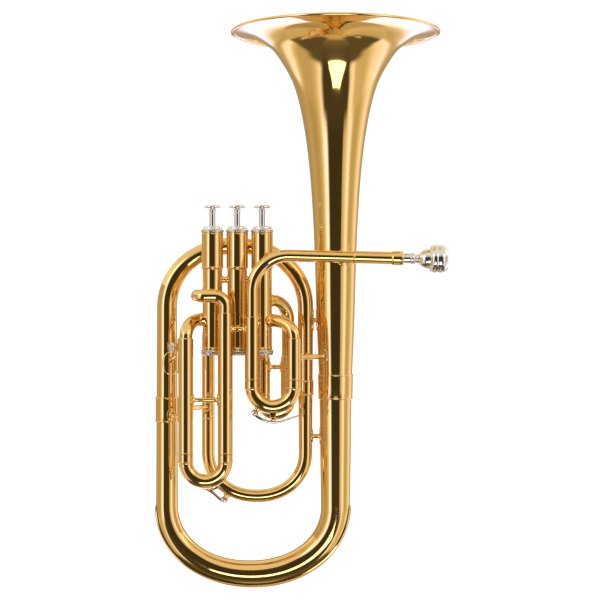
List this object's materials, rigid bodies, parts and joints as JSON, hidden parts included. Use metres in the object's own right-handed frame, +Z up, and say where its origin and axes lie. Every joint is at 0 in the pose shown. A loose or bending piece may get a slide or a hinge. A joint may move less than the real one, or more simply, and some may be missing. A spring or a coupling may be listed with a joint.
{
  "type": "alto horn",
  "caption": "Upright brass alto horn with top-action piston valves, sprung water keys, pull-out tuning slides and a removable mouthpiece.",
  "frame": {"origin": "the lowest point of the bottom bow's guard, below the middle of the bow", "axes": "+Z up along the bell, which opens at the top; the valves stand in front towards -Y; the mouthpiece points along +X"},
  "size_m": [0.2813, 0.2032, 0.5399],
  "materials": {
    "lacquer": "polished brass under clear lacquer",
    "silver": "bright silver plate",
    "steel": "drawn spring wire"
  },
  "bodies": {
    "horn": {"arch_branch": "lacquer", "arch_ferrule": "lacquer", "bell": "lacquer", "bell_arch_brace": "lacquer", "bell_bow_brace": "lacquer", "bell_ferrule": "lacquer", "bell_receiver_brace": "lacquer", "bell_slide_brace": "lacquer", "bottom_bow": "lacquer", "bottom_cap_1": "silver", "bottom_cap_2": "silver", "bottom_cap_3": "silver", "bow_ferrule": "lacquer", "bow_guard": "lacquer", "casing_1": "lacquer", "casing_2": "lacquer", "casing_3": "lacquer", "first_sleeve_left": "lacquer", "first_sleeve_right": "lacquer", "first_slide_brace": "lacquer", "front_slide_brace": "lacquer", "inner_bow": "lacquer", "inner_leg_brace": "lacquer", "knuckle_1_2": "lacquer", "knuckle_2_3": "lacquer", "leadpipe": "lacquer", "lyre_socket": "lacquer", "main_sleeve_left": "lacquer", "main_sleeve_right": "lacquer", "outer_tube_brace": "lacquer", "receiver": "lacquer", "second_sleeve_lower": "lacquer", "second_sleeve_upper": "lacquer", "third_sleeve_left": "lacquer", "third_sleeve_right": "lacquer", "third_slide_brace": "lacquer", "top_cap_1": "silver", "top_cap_2": "silver", "top_cap_3": "silver"},
    "valve_1": {"piston_1": "silver", "spring_1": "steel", "stem_1": "silver", "button_1": "silver"},
    "valve_2": {"piston_2": "silver", "spring_2": "steel", "stem_2": "silver", "button_2": "silver"},
    "valve_3": {"piston_3": "silver", "spring_3": "steel", "stem_3": "silver", "button_3": "silver"},
    "main_slide": {"main_crook": "lacquer"},
    "main_key": {"main_water_key": "silver"},
    "bow_key": {"bow_water_key": "silver"},
    "third_slide": {"third_crook": "lacquer"},
    "first_slide": {"first_crook": "lacquer"},
    "second_slide": {"second_crook": "lacquer"},
    "removable_mouthpiece": {"mouthpiece": "silver"},
    "lyre_clamp_screw": {"lyre_screw": "silver"}
  },
  "joints": [
    {"name": "valve_1_press", "type": "slide", "parent": "horn", "child": "valve_1", "axis": [0, 0, -1], "range_m": [0, 0.0153], "stiffness_N_per_m": 120, "springref_m": -0.025, "deforming": ["spring_1"]},
    {"name": "valve_2_press", "type": "slide", "parent": "horn", "child": "valve_2", "axis": [0, 0, -1], "range_m": [0, 0.0153], "stiffness_N_per_m": 120, "springref_m": -0.025, "deforming": ["spring_2"]},
    {"name": "valve_3_press", "type": "slide", "parent": "horn", "child": "valve_3", "axis": [0, 0, -1], "range_m": [0, 0.0153], "stiffness_N_per_m": 120, "springref_m": -0.025, "deforming": ["spring_3"]},
    {"name": "main_slide_pull", "type": "slide", "parent": "horn", "child": "main_slide", "axis": [0, 0, -1], "range_m": [0, 0.03]},
    {"name": "main_key_lift", "type": "hinge", "parent": "main_slide", "child": "main_key", "pos_m": [0.0218, -0.0385, 0.167], "axis": [0, -1, 0], "range_deg": [0, 14], "stiffness_Nm_per_rad": 0.05, "springref_deg": -17.19},
    {"name": "bow_key_lift", "type": "hinge", "parent": "horn", "child": "bow_key", "pos_m": [-0.03806, 0, 0.09651], "axis": [0, 1, 0], "range_deg": [0, 12], "stiffness_Nm_per_rad": 0.05, "springref_deg": -17.19},
    {"name": "third_slide_pull", "type": "slide", "parent": "horn", "child": "third_slide", "axis": [0, 0, -1], "range_m": [0, 0.06]},
    {"name": "first_slide_pull", "type": "slide", "parent": "horn", "child": "first_slide", "axis": [0, 0, -1], "range_m": [0, 0.026]},
    {"name": "second_slide_pull", "type": "slide", "parent": "horn", "child": "second_slide", "axis": [0, 1, 0], "range_m": [0, 0.015]},
    {"name": "mouthpiece_pull", "type": "slide", "parent": "horn", "child": "removable_mouthpiece", "axis": [0.9997, 0, -0.0262], "range_m": [0, 0.03]},
    {"name": "lyre_screw_turn", "type": "hinge", "parent": "horn", "child": "lyre_clamp_screw", "pos_m": [-0.07554, -0.03022, 0.2345], "axis": [-0.809, -0.5878, 0], "range_deg": [0, 720]}
  ]
}
